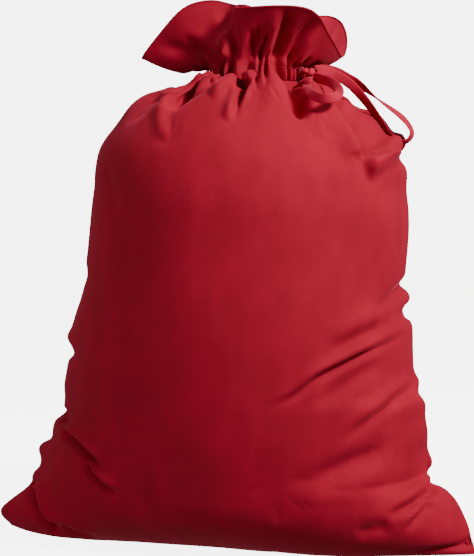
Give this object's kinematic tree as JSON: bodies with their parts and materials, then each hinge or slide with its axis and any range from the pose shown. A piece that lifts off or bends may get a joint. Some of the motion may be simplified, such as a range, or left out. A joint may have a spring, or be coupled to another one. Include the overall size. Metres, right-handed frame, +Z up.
{
  "type": "drawstring gift sack",
  "caption": "Filled velvet drawstring gift sack: two sewn panels, gathered neck with a cord channel, flared double ruffle, and a flat drawstring with loops.",
  "frame": {"origin": "on the floor, midway between the sack's two bottom corners", "axes": "+X the sack's right, towards the cord; +Y its back; +Z up"},
  "size_m": [0.628, 0.384, 0.7238],
  "materials": {
    "velvet": "short red pile with a soft sheen",
    "velvet_back": "flat woven back of the velvet, dull",
    "drawstring_velvet": "flat tube of the same velvet, seamed along one edge",
    "thread": "matt polyester sewing thread"
  },
  "bodies": {
    "sack": {"front_panel": "velvet", "back_panel": "velvet", "left_seam_allowance": "velvet_back", "right_seam_allowance": "velvet_back", "bottom_seam_allowance": "velvet_back", "channel_outer": "velvet", "channel_inner": "velvet", "lower_channel_stitches": "thread", "upper_channel_stitches": "thread", "front_ruffle": "velvet", "back_ruffle": "velvet", "front_ruffle_facing": "velvet", "back_ruffle_facing": "velvet", "ruffle_hem": "velvet", "channel_cord": "drawstring_velvet", "cord_opening": "thread", "bar_tacks": "thread"},
    "drawstring": {"exit_strands": "drawstring_velvet", "drawstring_knot": "drawstring_velvet"},
    "hanging_loop": {"long_loop": "drawstring_velvet"},
    "side_loop": {"short_loop": "drawstring_velvet"}
  },
  "joints": [
    {"name": "drawstring_pull", "type": "slide", "parent": "sack", "child": "drawstring", "axis": [0.9063, -0.4226, 0], "range_m": [0, 0.06], "deforming": ["exit_strands"]},
    {"name": "long_loop_lift", "type": "hinge", "parent": "drawstring", "child": "hanging_loop", "pos_m": [0.09813, -0.0355, 0.623], "axis": [0, -0.9397, -0.342], "range_deg": [0, 24]},
    {"name": "short_loop_lift", "type": "hinge", "parent": "drawstring", "child": "side_loop", "pos_m": [0.09813, -0.0355, 0.623], "axis": [-0.766, -0.6428, 0], "range_deg": [0, 30]}
  ]
}
